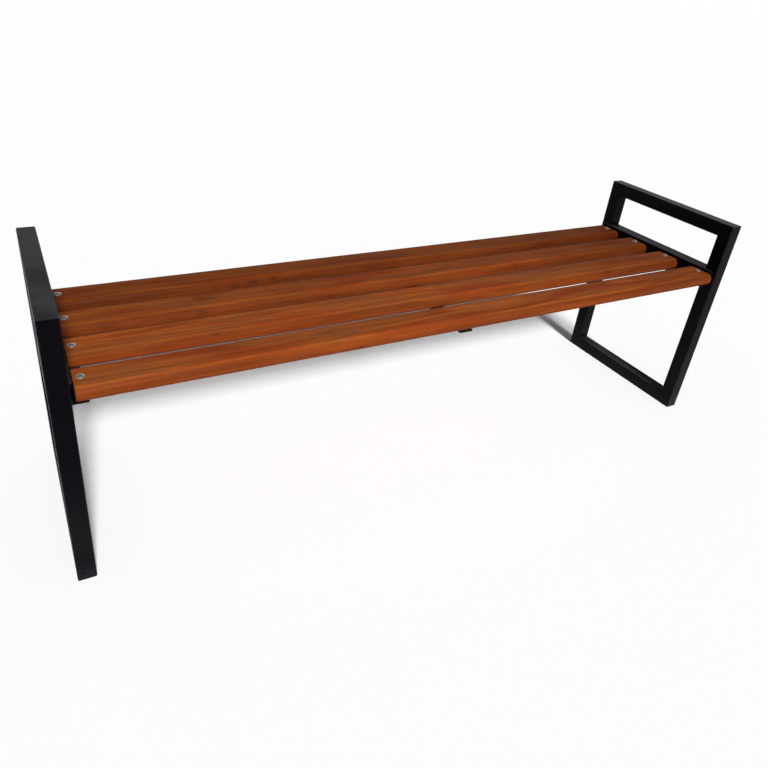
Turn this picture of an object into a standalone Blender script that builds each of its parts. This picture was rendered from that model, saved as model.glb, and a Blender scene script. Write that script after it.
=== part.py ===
"""Backless garden bench: four stained planks bolted between two welded end frames of square steel tube.

Lengths are in metres. +X runs along the seat, -Y is the front and +Z is up. The origin is on the
floor under the middle of the seat.
"""

import math

import bmesh
import bpy
from mathutils import Matrix

# Overall sizes
OVERALL_LENGTH = 1.800
OVERALL_DEPTH = 0.445
OVERALL_HEIGHT = 0.605
SEAT_HEIGHT = 0.460

# Square steel tube of the end frames
TUBE_SIZE = 0.038
TUBE_WALL = 0.002
TUBE_CORNER_RADIUS = 0.003
TUBE_CORNER_STEPS = 3
BORE_CORNER_STEPS = 1

# Seat planks, counted from the front
PLANK_COUNT = 4
PLANK_WIDTH = 0.083
PLANK_THICKNESS = 0.033
PLANK_GAP = 0.036
PLANK_EDGE_RADIUS = 0.015
PLANK_EDGE_STEPS = 6
PLANK_END_RADIUS = 0.003
PLANK_END_STEPS = 2
PLANK_END_GAP = 0.002
LARGEST_EDGE_SHARE = 0.48

# Steel angle that carries the plank ends, and how far it stops short of the outer planks' faces
ANGLE_UPRIGHT_LEG = 0.045
ANGLE_LEDGE = 0.030
ANGLE_THICKNESS = 0.005
ANGLE_ROOT_RADIUS = 0.005
ANGLE_TOE_RADIUS = 0.0025
ANGLE_ARC_STEPS = 3
ANGLE_SETBACK = 0.011

# Flat bar under the middle of the seat, and how far it stops short of the outer planks' faces
BRACE_WIDTH = 0.035
BRACE_THICKNESS = 0.005
BRACE_EDGE_RADIUS = 0.0006
BRACE_EDGE_STEPS = 1
BRACE_SETBACK = 0.007

# Carriage bolts, washers and nuts
BOLT_DIAMETER = 0.006
BOLT_HEAD_DIAMETER = 0.0165
BOLT_HEAD_HEIGHT = 0.0039
BOLT_HEAD_RIM = 0.0005
BOLT_NECK_SIZE = 0.0064
BOLT_NECK_DEPTH = 0.004
BOLT_TIP_CHAMFER = 0.0008
BOLT_BEYOND_NUT = 0.003
BOLT_EDGE_DISTANCE = 0.0085
WASHER_DIAMETER = 0.012
WASHER_THICKNESS = 0.0016
NUT_SIDES = 6
NUT_ACROSS_FLATS = 0.010
NUT_HEIGHT = 0.005
NUT_CHAMFER_ANGLE = math.radians(30)
NUT_CHAMFER_REACH = 0.0005

# Wood screws that hold the flat bar to the planks
SCREW_DIAMETER = 0.005
SCREW_HEAD_DIAMETER = 0.0095
SCREW_HEAD_HEIGHT = 0.003
SCREW_HEAD_RIM = 0.001
SCREW_REACH = 0.022
SCREW_TIP_LENGTH = 0.006

# Gap between faces that touch, and around a shank in its hole
FACE_CLEARANCE = 0.0003
HOLE_CLEARANCE = 0.0004

# Fineness of round shapes and how far cutters reach past what they cut
ROUND_STEPS = 20
DOME_STEPS = 4
CUT_OVERSHOOT = 0.010
SMALLEST_RADIUS = 0.0003
MERGE_DISTANCE = 0.00001
SHARP_ANGLE = math.radians(35)
QUARTER_TURN = math.pi / 2
CIRCULAR_PROFILE = 0.5

# Places that follow from the sizes above
PLANK_UNDERSIDE = SEAT_HEIGHT - PLANK_THICKNESS
SEAT_WIDTH = PLANK_COUNT * PLANK_WIDTH + (PLANK_COUNT - 1) * PLANK_GAP
ANGLE_LENGTH = SEAT_WIDTH - 2 * ANGLE_SETBACK
BRACE_LENGTH = SEAT_WIDTH - 2 * BRACE_SETBACK
FRAME_CENTRE_X = OVERALL_LENGTH / 2 - TUBE_SIZE / 2
UPRIGHT_CENTRE_Y = OVERALL_DEPTH / 2 - TUBE_SIZE / 2
CROSSBAR_LENGTH = OVERALL_DEPTH - 2 * TUBE_SIZE - 2 * FACE_CLEARANCE
ANGLE_BACK_X = OVERALL_LENGTH / 2 - TUBE_SIZE - FACE_CLEARANCE
ANGLE_FACE_X = ANGLE_BACK_X - ANGLE_THICKNESS
ANGLE_BOTTOM = PLANK_UNDERSIDE - FACE_CLEARANCE - ANGLE_THICKNESS
CROSSBAR_CENTRE_Z = ANGLE_BOTTOM + ANGLE_UPRIGHT_LEG - TUBE_SIZE / 2
PLANK_LENGTH = 2 * (ANGLE_FACE_X - PLANK_END_GAP)
BOLT_X = ANGLE_BACK_X - ANGLE_LEDGE + BOLT_EDGE_DISTANCE
BOLT_HOLE_RADIUS = BOLT_DIAMETER / 2 + HOLE_CLEARANCE
NECK_POCKET_SIZE = BOLT_NECK_SIZE + 2 * HOLE_CLEARANCE
HEAD_SEAT_Z = SEAT_HEIGHT + FACE_CLEARANCE
WASHER_TOP = ANGLE_BOTTOM - FACE_CLEARANCE
NUT_TOP = WASHER_TOP - WASHER_THICKNESS - FACE_CLEARANCE
BOLT_LENGTH = HEAD_SEAT_Z - NUT_TOP + NUT_HEIGHT + BOLT_BEYOND_NUT
BRACE_TOP = PLANK_UNDERSIDE - FACE_CLEARANCE
SCREW_HEAD_TOP = BRACE_TOP - BRACE_THICKNESS - FACE_CLEARANCE
SCREW_LENGTH = PLANK_UNDERSIDE + SCREW_REACH - SCREW_HEAD_TOP
SCREW_HOLE_RADIUS = SCREW_DIAMETER / 2 + HOLE_CLEARANCE


def clear_scene():
    """Remove every object that the file starts with."""
    for scene_object in list(bpy.data.objects):
        bpy.data.objects.remove(scene_object)


def make_collection(name):
    """Return a new collection in the scene."""
    collection = bpy.data.collections.new(name)
    bpy.context.scene.collection.children.link(collection)
    return collection


def make_material(name, colour, roughness, metallic):
    """Return a Principled material of one colour."""
    material = bpy.data.materials.new(name)
    material.use_nodes = True
    shader = material.node_tree.nodes["Principled BSDF"]
    shader.inputs["Base Color"].default_value = (*colour, 1.0)
    shader.inputs["Roughness"].default_value = roughness
    shader.inputs["Metallic"].default_value = metallic
    material.diffuse_color = (*colour, 1.0)
    return material


def add_object(name, data, collection, location=(0.0, 0.0, 0.0), parent=None):
    """Put a mesh, a curve or nothing (an empty) in a collection as a named object."""
    new_object = bpy.data.objects.new(name, data)
    new_object.location = location
    new_object.parent = parent
    collection.objects.link(new_object)
    return new_object


def add_part(name, mesh, material, location, parent):
    """Put a mesh in the bench's collection with its material."""
    if not mesh.materials:
        mesh.materials.append(material)
    return add_object(name, mesh, PARTS, location, parent)


def add_cutter(name, mesh, location=(0.0, 0.0, 0.0), parent=None):
    """Put a mesh among the cutters, which are not rendered."""
    cutter = add_object(name, mesh, CUTTERS, location, parent)
    cutter.hide_render = True
    cutter.display_type = "WIRE"
    return cutter


def add_boolean(target, tool, operation):
    """Cut a tool from an object, join it, or keep what the two share."""
    modifier = target.modifiers.new(operation.lower() + "_" + tool.name, "BOOLEAN")
    modifier.operation = operation
    modifier.object = tool
    modifier.solver = "EXACT"


def mesh_from(shape, name):
    """Turn a bmesh into a mesh, smooth except at sharp edges."""
    bmesh.ops.recalc_face_normals(shape, faces=shape.faces)
    mesh = bpy.data.meshes.new(name)
    shape.to_mesh(mesh)
    shape.free()
    mesh.shade_smooth()
    mesh.set_sharp_from_angle(angle=SHARP_ANGLE)
    return mesh


def take_mesh(source, name):
    """Take the finished mesh of an object, weld it and remove the object."""
    bpy.context.view_layer.update()
    finished = source.evaluated_get(bpy.context.evaluated_depsgraph_get())
    mesh = bpy.data.meshes.new_from_object(finished)
    shape = bmesh.new()
    shape.from_mesh(mesh)
    bmesh.ops.remove_doubles(shape, verts=shape.verts, dist=MERGE_DISTANCE)
    bpy.data.objects.remove(source)
    return mesh_from(shape, name)


def box_shape(size):
    """Return a bmesh box of the given size about its own centre."""
    shape = bmesh.new()
    bmesh.ops.create_cube(shape, size=1.0)
    bmesh.ops.scale(shape, vec=size, verts=shape.verts)
    return shape


def prism_shape(sides, radius, low, high):
    """Return a bmesh prism or cylinder along Z between two heights."""
    shape = bmesh.new()
    bmesh.ops.create_cone(
        shape,
        cap_ends=True,
        segments=sides,
        radius1=radius,
        radius2=radius,
        depth=high - low,
        matrix=Matrix.Translation((0.0, 0.0, (low + high) / 2)),
    )
    return shape


def edges_along(shape, axis):
    """Return the edges that run along X (0), Y (1) or Z (2)."""
    found = []
    for edge in shape.edges:
        direction = (edge.verts[1].co - edge.verts[0].co).normalized()
        if abs(direction[axis]) > math.cos(SHARP_ANGLE):
            found.append(edge)
    return found


def round_edges(shape, edges, radius, steps):
    """Round some edges of a bmesh with a circular bevel."""
    bmesh.ops.bevel(
        shape,
        geom=edges,
        offset=radius,
        offset_type="OFFSET",
        segments=steps,
        profile=CIRCULAR_PROFILE,
        affect="EDGES",
    )


def arc(centre, radius, start, end, steps):
    """Return points on an arc, both ends included."""
    points = []
    for i in range(steps + 1):
        angle = start + (end - start) * i / steps
        points.append((centre[0] + radius * math.cos(angle), centre[1] + radius * math.sin(angle)))
    return points


def dome(radius, height, top):
    """Return profile points of a shallow dome, from its top on the axis out to its rim."""
    sphere = (radius**2 + height**2) / (2 * height)
    spread = math.asin(radius / sphere)
    points = []
    for i in range(DOME_STEPS + 1):
        angle = spread * i / DOME_STEPS
        points.append((sphere * math.sin(angle), top - sphere * (1 - math.cos(angle))))
    return points


def turned_mesh(name, profile, closed=False):
    """Turn a profile of (radius, height) points, listed from top to bottom, about Z."""
    points = [(radius, 0.0, height) for radius, height in profile]
    links = [(i, i + 1) for i in range(len(points) - 1)]
    if closed:
        links.append((len(points) - 1, 0))
    mesh = bpy.data.meshes.new(name + "_profile")
    mesh.from_pydata(points, links, [])
    source = add_object(name + "_profile", mesh, PARTS)
    screw = source.modifiers.new("turn", "SCREW")
    screw.steps = ROUND_STEPS
    screw.render_steps = ROUND_STEPS
    screw.use_merge_vertices = True
    screw.merge_threshold = MERGE_DISTANCE
    return take_mesh(source, name)


def tube_meshes(name, length, mitred):
    """Return a square bar along Z, whose -X side is the outside of the frame, and its bore.

    A mitred bar has its full length on the outside and is cut at 45 degrees at both ends, set back
    so that two tubes meet with the face clearance between them.
    """
    bar = box_shape((TUBE_SIZE, TUBE_SIZE, length))
    if mitred:
        set_back = FACE_CLEARANCE / math.sqrt(2)
        for vertex in bar.verts:
            inward = vertex.co.x + TUBE_SIZE / 2
            vertex.co.z -= math.copysign(inward + set_back, vertex.co.z)
    round_edges(bar, edges_along(bar, 2), TUBE_CORNER_RADIUS, TUBE_CORNER_STEPS)
    bore_size = TUBE_SIZE - 2 * TUBE_WALL
    bore = box_shape((bore_size, bore_size, length + 2 * CUT_OVERSHOOT))
    bore_radius = max(TUBE_CORNER_RADIUS - TUBE_WALL, SMALLEST_RADIUS)
    round_edges(bore, edges_along(bore, 2), bore_radius, BORE_CORNER_STEPS)
    return mesh_from(bar, name), mesh_from(bore, name + "_bore")


def angle_mesh():
    """Return the steel angle along Y, its back on X = 0 and its ledge reaching to +X from Z = 0."""
    inner = ANGLE_THICKNESS + ANGLE_ROOT_RADIUS
    toe = min(ANGLE_TOE_RADIUS, ANGLE_THICKNESS / 2)
    outline = [(0.0, 0.0), (ANGLE_LEDGE, 0.0)]
    outline += arc((ANGLE_LEDGE - toe, ANGLE_THICKNESS - toe), toe, 0.0, QUARTER_TURN, ANGLE_ARC_STEPS)
    outline += arc((inner, inner), ANGLE_ROOT_RADIUS, 3 * QUARTER_TURN, math.pi, ANGLE_ARC_STEPS)
    upper_toe = (ANGLE_THICKNESS - toe, ANGLE_UPRIGHT_LEG - toe)
    outline += arc(upper_toe, toe, 0.0, QUARTER_TURN, ANGLE_ARC_STEPS)
    outline.append((0.0, ANGLE_UPRIGHT_LEG))
    curve = bpy.data.curves.new("support_angle_outline", "CURVE")
    curve.dimensions = "2D"
    curve.fill_mode = "BOTH"
    curve.extrude = ANGLE_LENGTH / 2
    spline = curve.splines.new("POLY")
    spline.points.add(len(outline) - 1)
    for point, (x, z) in zip(spline.points, outline):
        point.co = (x, z, 0.0, 1.0)
    spline.use_cyclic_u = True
    mesh = take_mesh(add_object("support_angle_outline", curve, PARTS), "support_angle")
    mesh.transform(Matrix.Rotation(QUARTER_TURN, 4, "X"))
    return mesh


def plank_mesh():
    """Return a plank along X with rounded long edges and eased ends."""
    shape = box_shape((PLANK_LENGTH, PLANK_WIDTH, PLANK_THICKNESS))
    edge_radius = min(PLANK_EDGE_RADIUS, PLANK_THICKNESS * LARGEST_EDGE_SHARE)
    round_edges(shape, edges_along(shape, 0), edge_radius, PLANK_EDGE_STEPS)
    end_x = PLANK_LENGTH / 2 - MERGE_DISTANCE
    end_edges = [edge for edge in shape.edges if min(abs(vertex.co.x) for vertex in edge.verts) > end_x]
    end_edges = [edge for edge in end_edges if edge.verts[0].co.x * edge.verts[1].co.x > 0]
    round_edges(shape, end_edges, PLANK_END_RADIUS, PLANK_END_STEPS)
    return mesh_from(shape, "seat_plank")


def brace_mesh():
    """Return the flat bar along Y with slightly eased long edges."""
    shape = box_shape((BRACE_WIDTH, BRACE_LENGTH, BRACE_THICKNESS))
    round_edges(shape, edges_along(shape, 1), BRACE_EDGE_RADIUS, BRACE_EDGE_STEPS)
    return mesh_from(shape, "middle_brace")


def bolt_mesh():
    """Return a carriage bolt whose head sits on Z = 0: dome, square neck and shank."""
    head_radius = BOLT_HEAD_DIAMETER / 2
    shank_radius = BOLT_DIAMETER / 2
    profile = dome(head_radius, BOLT_HEAD_HEIGHT - BOLT_HEAD_RIM, BOLT_HEAD_HEIGHT)
    profile.append((head_radius, 0.0))
    profile.append((shank_radius, 0.0))
    profile.append((shank_radius, BOLT_TIP_CHAMFER - BOLT_LENGTH))
    profile.append((shank_radius - BOLT_TIP_CHAMFER, -BOLT_LENGTH))
    profile.append((0.0, -BOLT_LENGTH))
    bolt = add_object("bolt_turned", turned_mesh("bolt_turned", profile), PARTS)
    neck_height = BOLT_NECK_DEPTH + BOLT_HEAD_RIM / 2
    neck = box_shape((BOLT_NECK_SIZE, BOLT_NECK_SIZE, neck_height))
    neck_tool = add_cutter("bolt_neck", mesh_from(neck, "bolt_neck"))
    neck_tool.location.z = neck_height / 2 - BOLT_NECK_DEPTH
    add_boolean(bolt, neck_tool, "UNION")
    return take_mesh(bolt, "carriage_bolt")


def washer_mesh():
    """Return a flat washer with its top at Z = 0."""
    inner = BOLT_HOLE_RADIUS
    outer = WASHER_DIAMETER / 2
    profile = [(inner, 0.0), (outer, 0.0), (outer, -WASHER_THICKNESS), (inner, -WASHER_THICKNESS)]
    return turned_mesh("washer", profile, closed=True)


def nut_mesh():
    """Return a hexagon nut with its top at Z = 0 and the corners of both ends chamfered."""
    corner_radius = NUT_ACROSS_FLATS / 2 / math.cos(math.pi / NUT_SIDES)
    hexagon = prism_shape(NUT_SIDES, corner_radius, -NUT_HEIGHT, 0.0)
    nut = add_object("nut_hexagon", mesh_from(hexagon, "nut_hexagon"), PARTS)
    slope = math.tan(NUT_CHAMFER_ANGLE)
    end_radius = NUT_ACROSS_FLATS / 2 - NUT_CHAMFER_REACH / slope
    wide_radius = corner_radius + NUT_CHAMFER_REACH
    shoulder = (wide_radius - NUT_ACROSS_FLATS / 2) * slope
    profile = [
        (0.0, NUT_CHAMFER_REACH),
        (end_radius, NUT_CHAMFER_REACH),
        (wide_radius, -shoulder),
        (wide_radius, shoulder - NUT_HEIGHT),
        (end_radius, -NUT_HEIGHT - NUT_CHAMFER_REACH),
        (0.0, -NUT_HEIGHT - NUT_CHAMFER_REACH),
    ]
    add_boolean(nut, add_cutter("nut_chamfer", turned_mesh("nut_chamfer", profile)), "INTERSECT")
    hole = prism_shape(ROUND_STEPS, BOLT_HOLE_RADIUS, -NUT_HEIGHT - CUT_OVERSHOOT, CUT_OVERSHOOT)
    add_boolean(nut, add_cutter("nut_hole", mesh_from(hole, "nut_hole")), "DIFFERENCE")
    return take_mesh(nut, "nut")


def screw_mesh():
    """Return a pan-head wood screw that points up, with the top of its head at Z = 0."""
    head_radius = SCREW_HEAD_DIAMETER / 2
    shank_radius = SCREW_DIAMETER / 2
    crown = dome(head_radius, SCREW_HEAD_HEIGHT - SCREW_HEAD_RIM, SCREW_HEAD_HEIGHT)
    profile = [
        (0.0, SCREW_LENGTH),
        (shank_radius, SCREW_LENGTH - SCREW_TIP_LENGTH),
        (shank_radius, 0.0),
        (head_radius, 0.0),
    ]
    profile += [(radius, -height) for radius, height in reversed(crown)]
    return turned_mesh("brace_screw", profile)


def plank_y(number):
    """Return the middle of a plank, counted from 1 at the front."""
    return (number - 1) * (PLANK_WIDTH + PLANK_GAP) - (SEAT_WIDTH - PLANK_WIDTH) / 2


def add_tube(name, meshes, location, rotation, parent):
    """Place one frame tube and hollow it with its bore."""
    bar, bore = meshes
    tube = add_part(name, bar, POWDER_COAT, location, parent)
    tube.rotation_euler = rotation
    add_boolean(tube, add_cutter(name + "_bore", bore, parent=tube), "DIFFERENCE")


def add_end_frame(side, end):
    """Place the five tubes of one end frame, mitred at the corners, with the crossbar between uprights."""
    lie_down = Matrix.Rotation(-QUARTER_TURN, 3, "X")
    face_front = Matrix.Rotation(QUARTER_TURN, 3, "Z")
    face_rear = Matrix.Rotation(-QUARTER_TURN, 3, "Z")
    middle = OVERALL_HEIGHT / 2
    top = OVERALL_HEIGHT - TUBE_SIZE / 2
    bottom = TUBE_SIZE / 2
    places = (
        ("front_upright", UPRIGHT_TUBE, (0.0, -UPRIGHT_CENTRE_Y, middle), face_front),
        ("rear_upright", UPRIGHT_TUBE, (0.0, UPRIGHT_CENTRE_Y, middle), face_rear),
        ("top_rail", RAIL_TUBE, (0.0, 0.0, top), lie_down @ face_front),
        ("bottom_rail", RAIL_TUBE, (0.0, 0.0, bottom), lie_down @ face_rear),
        ("crossbar", CROSSBAR_TUBE, (0.0, 0.0, CROSSBAR_CENTRE_Z), lie_down),
    )
    for name, meshes, location, turn in places:
        add_tube(side + "_" + name, meshes, location, turn.to_euler(), end)


def add_support_angle(side, inward, end):
    """Place the angle on the inner side of an end frame, its ledge towards the middle of the seat."""
    offset = -inward * (ANGLE_BACK_X - FRAME_CENTRE_X)
    angle = add_part(side + "_support_angle", ANGLE, POWDER_COAT, (offset, 0.0, ANGLE_BOTTOM), end)
    if inward < 0:
        angle.rotation_euler.z = math.pi
    return angle


def add_bolt_set(side, inward, number, plank, angle, seat):
    """Bolt one plank end to its angle: holes in line, then bolt, washer and nut."""
    label = side + "_{}_" + str(number)
    x = -inward * BOLT_X
    y = plank_y(number)
    hole = add_cutter(label.format("bolt_hole"), BOLT_HOLE, (x, y, 0.0), seat)
    pocket_z = SEAT_HEIGHT - BOLT_NECK_DEPTH - HOLE_CLEARANCE + CUT_OVERSHOOT
    pocket = add_cutter(label.format("neck_pocket"), NECK_POCKET, (x, y, pocket_z), seat)
    add_boolean(plank, hole, "DIFFERENCE")
    add_boolean(plank, pocket, "DIFFERENCE")
    add_boolean(angle, hole, "DIFFERENCE")
    add_part(label.format("bolt"), BOLT, ZINC, (x, y, HEAD_SEAT_Z), seat)
    add_part(label.format("washer"), WASHER, ZINC, (x, y, WASHER_TOP), seat)
    add_part(label.format("nut"), NUT, ZINC, (x, y, NUT_TOP), seat)


def add_brace_screw(number, plank, brace, seat):
    """Screw the flat bar to one plank from below."""
    name = "brace_screw_" + str(number)
    place = (0.0, plank_y(number), SCREW_HEAD_TOP)
    hole = add_cutter(name + "_hole", SCREW_HOLE, place, seat)
    add_boolean(plank, hole, "DIFFERENCE")
    add_boolean(brace, hole, "DIFFERENCE")
    add_part(name, SCREW, ZINC, place, seat)


def build_bench():
    """Place every piece of the bench."""
    seat = add_object("seat", None, PARTS)
    angles = {}
    for side, inward in (("left", 1), ("right", -1)):
        end = add_object(side + "_end", None, PARTS, (-inward * FRAME_CENTRE_X, 0.0, 0.0))
        add_end_frame(side, end)
        angles[side] = (inward, add_support_angle(side, inward, end))
    brace = add_part("middle_brace", BRACE, POWDER_COAT, (0.0, 0.0, BRACE_TOP - BRACE_THICKNESS / 2), seat)
    for number in range(1, PLANK_COUNT + 1):
        place = (0.0, plank_y(number), SEAT_HEIGHT - PLANK_THICKNESS / 2)
        plank = add_part("seat_plank_" + str(number), PLANK, STAINED_WOOD, place, seat)
        for side, (inward, angle) in angles.items():
            add_bolt_set(side, inward, number, plank, angle, seat)
        add_brace_screw(number, plank, brace, seat)


clear_scene()
PARTS = make_collection("garden_bench")
CUTTERS = make_collection("garden_bench_cutters")

STAINED_WOOD = make_material("stained_wood", colour=(0.245, 0.062, 0.016), roughness=0.42, metallic=0.0)
POWDER_COAT = make_material("black_powder_coat", colour=(0.012, 0.012, 0.014), roughness=0.45, metallic=0.0)
ZINC = make_material("zinc_plated_steel", colour=(0.62, 0.61, 0.58), roughness=0.32, metallic=1.0)

UPRIGHT_TUBE = tube_meshes("upright", OVERALL_HEIGHT, mitred=True)
RAIL_TUBE = tube_meshes("rail", OVERALL_DEPTH, mitred=True)
CROSSBAR_TUBE = tube_meshes("crossbar", CROSSBAR_LENGTH, mitred=False)
ANGLE = angle_mesh()
PLANK = plank_mesh()
BRACE = brace_mesh()
BOLT = bolt_mesh()
WASHER = washer_mesh()
NUT = nut_mesh()
SCREW = screw_mesh()
BOLT_HOLE = mesh_from(
    prism_shape(ROUND_STEPS, BOLT_HOLE_RADIUS, ANGLE_BOTTOM - CUT_OVERSHOOT, SEAT_HEIGHT + CUT_OVERSHOOT),
    "bolt_hole",
)
NECK_POCKET = mesh_from(box_shape((NECK_POCKET_SIZE, NECK_POCKET_SIZE, 2 * CUT_OVERSHOOT)), "neck_pocket")
SCREW_HOLE = mesh_from(
    prism_shape(ROUND_STEPS, SCREW_HOLE_RADIUS, -CUT_OVERSHOOT, SCREW_LENGTH + HOLE_CLEARANCE),
    "screw_hole",
)

build_bench()
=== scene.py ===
import math

import bmesh
import bpy
from mathutils import Matrix, Vector, noise


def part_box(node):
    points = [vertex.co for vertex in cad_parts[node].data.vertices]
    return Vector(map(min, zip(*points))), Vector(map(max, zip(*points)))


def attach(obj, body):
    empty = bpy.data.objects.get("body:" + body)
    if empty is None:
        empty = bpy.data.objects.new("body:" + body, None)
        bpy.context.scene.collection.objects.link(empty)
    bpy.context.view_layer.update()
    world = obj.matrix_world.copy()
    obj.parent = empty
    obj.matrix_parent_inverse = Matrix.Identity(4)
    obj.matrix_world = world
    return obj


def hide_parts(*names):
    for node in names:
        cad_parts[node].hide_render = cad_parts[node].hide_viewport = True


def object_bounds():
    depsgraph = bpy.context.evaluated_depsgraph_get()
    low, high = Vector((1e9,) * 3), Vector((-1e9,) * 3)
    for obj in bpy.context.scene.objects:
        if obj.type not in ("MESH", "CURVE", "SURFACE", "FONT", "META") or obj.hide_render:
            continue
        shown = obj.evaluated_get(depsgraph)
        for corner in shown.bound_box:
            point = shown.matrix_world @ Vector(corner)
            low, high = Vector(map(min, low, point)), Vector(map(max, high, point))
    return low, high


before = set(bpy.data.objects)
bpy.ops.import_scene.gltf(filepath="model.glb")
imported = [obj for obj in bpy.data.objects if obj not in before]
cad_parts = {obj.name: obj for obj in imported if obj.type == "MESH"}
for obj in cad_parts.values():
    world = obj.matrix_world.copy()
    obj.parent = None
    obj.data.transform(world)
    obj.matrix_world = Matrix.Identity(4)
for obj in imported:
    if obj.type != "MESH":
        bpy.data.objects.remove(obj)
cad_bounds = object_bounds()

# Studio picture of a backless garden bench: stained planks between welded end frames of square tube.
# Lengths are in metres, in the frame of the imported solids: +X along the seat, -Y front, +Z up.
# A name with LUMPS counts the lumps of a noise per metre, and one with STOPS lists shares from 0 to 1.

# Camera at the front left, above the seat, for a square picture
CAMERA_PLACE = Vector((-0.9128, -1.2992, 1.1539))
CAMERA_RIGHT = Vector((0.88637, -0.45549, 0.08294))
CAMERA_UP = Vector((0.15632, 0.46305, 0.87244))
CAMERA_LENS_MM = 31.496
CAMERA_SENSOR_MM = 36.0
CAMERA_SHIFT = (0.0339, -0.0638)

# Studio: a large pale floor, a soft lamp at the front and a sky that is brightest at the horizon
FLOOR_HALF_SIZE = 60.0
FLOOR_COLOUR = (0.94, 0.94, 0.94, 1.0)
LAMP_FROM = Vector((-0.12, -1.35, 0.95))
LAMP_STRENGTH = 5.0
LAMP_WIDTH = math.radians(9)
SKY_STOPS = ((0.20, 1.0), (0.28, 0.35), (0.45, 0.07), (0.80, 0.05))

# Square tube of the end frames
TUBE_CORNER = 0.003
TUBE_WALL = 0.002
TUBE_ARC_STEPS = 6
TUBE_FLAT_STOPS = (0.06, 0.94)
DRESSED_WELD_REACH = 0.006

# Fillet welds, whose size ripples and wobbles along the run and whose face is crowned
WELD_LEG = 0.0045
END_WELD_LEG = 0.0038
WELD_BODY_SHARE = 0.88
WELD_RIPPLE = 0.0026
WELD_RIPPLE_SHARE = 0.08
WELD_RIPPLE_STEPS = 8
WELD_WOBBLE_LUMPS = 150.0
WELD_WOBBLE_SHARE = 0.10
WELD_CROWN = 0.20
WELD_ARC_STEPS = 6
WELD_STITCH = 0.036
WELD_STITCHES_Y = (-0.125, 0.0, 0.125)
WELD_SINK = 0.0002

# Seat planks, counted from the front
PLANK_COUNT = 4
PLANK_NUMBERS = range(1, PLANK_COUNT + 1)
PLANK_ROUNDING = 0.015
PLANK_ARC_STEPS = 14
PLANK_FLAT_STEPS = 24
PLANK_FLAT_STOPS = tuple(step / PLANK_FLAT_STEPS for step in range(1, PLANK_FLAT_STEPS))
PLANK_STEP = 0.009
PLANK_END_EASE = 0.003
PLANK_END_STEPS = 5
BOLT_FINE_STEP = 0.002
BOLT_FINE_REACH = 0.016
STATION_DIGITS = 4

# What the hand finish leaves on a plank
BOLT_DISH_RADIUS = 0.0120
BOLT_DISH_DEPTH = 0.0005
PLANK_BOW = 0.0003
BOW_LUMPS_Y = 1.4
BOW_LUMPS_Z = 1.8
BOW_SEED_Z = 9.0
PLANK_UNDULATION = 0.00012
UNDULATION_LUMPS_ALONG = 8.0
UNDULATION_LUMPS_ACROSS = 55.0
KNOT_RISE = 0.0002
KNOT_RISE_SIZES = 1.5

# Steel angles and flat bar
ANGLE_THICKNESS = 0.005
ANGLE_ROOT = 0.005
ANGLE_TOE = 0.0025
ANGLE_ARC_STEPS = 8
BRACE_EDGE = 0.0007
BRACE_ARC_STEPS = 3
BRACE_FLAT_STOPS = (0.5,)

# Fasteners
BOLT_HEAD_HEIGHT = 0.0039
BOLT_HEAD_RIM = 0.0005
BOLT_HEAD_BEDDING = 0.0006
BOLT_DOME_STEPS = 14
BOLT_SHANK_RADIUS = 0.003
BOLT_NECK = 0.0064
BOLT_NECK_SIDES = 4
BOLT_NECK_DEPTH = 0.004
BOLT_TIP = 0.0008
THREAD_PITCH = 0.001
THREAD_DEPTH = 0.0005
THREAD_LENGTH = 0.020
THREAD_ROWS_PER_TURN = 8
HOLE_CLEARANCE = 0.0004
WASHER_EDGE = 0.0003
NUT_SIDES = 6
NUT_HOLE_RADIUS = 0.00315
NUT_MOUTH = 0.0006
NUT_FACE_SHARE = 0.95
NUT_CHAMFER_ROWS = 8
NUT_CHAMFER_DEPTH = 0.0010
NUT_CHAMFER_SLOPE = math.sqrt(3)
NUT_TURN_STEP = 2.3
SCREW_HEAD_HEIGHT = 0.003
SCREW_HEAD_RIM = 0.001
SCREW_SHANK_RADIUS = 0.0025
SCREW_TIP = 0.006
SCREW_DOME_STEPS = 20
SCREW_TURN_STEP = 0.9
RECESS_DEPTH = 0.0016
RECESS_ARM = 0.0026
RECESS_HALF_WIDTH = 0.0005
RECESS_SLOPE = 0.0003

# Mesh making
ROUND_STEPS = 48
ROUND_ANGLES = tuple(math.tau * step / ROUND_STEPS for step in range(ROUND_STEPS))
MERGE_DISTANCE = 0.000001
SHARP_ANGLE = math.radians(35)
CUT_OVERSHOOT = 0.010
QUARTER_TURN = math.pi / 2

# The two ends of the bench, with the way out along X
SIDES = (("left", -1), ("right", 1))


def centre_of(node):
    """Return the middle of a CAD node's box."""
    low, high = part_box(node)
    return (low + high) / 2


def size_of(node):
    """Return the lengths of a CAD node's box."""
    low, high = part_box(node)
    return high - low


TUBE = size_of("left_top_rail").z
FRAME_DEPTH = cad_bounds[1].y - cad_bounds[0].y
FRAME_HEIGHT = cad_bounds[1].z - cad_bounds[0].z


# Meshes

def finish_mesh(name, points, faces):
    """Return a clean mesh, smooth except at sharp edges."""
    mesh = bpy.data.meshes.new(name)
    mesh.from_pydata(points, [], faces)
    shape = bmesh.new()
    shape.from_mesh(mesh)
    bmesh.ops.remove_doubles(shape, verts=shape.verts, dist=MERGE_DISTANCE)
    bmesh.ops.recalc_face_normals(shape, faces=shape.faces)
    shape.to_mesh(mesh)
    shape.free()
    mesh.shade_smooth()
    mesh.set_sharp_from_angle(angle=SHARP_ANGLE)
    return mesh


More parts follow.
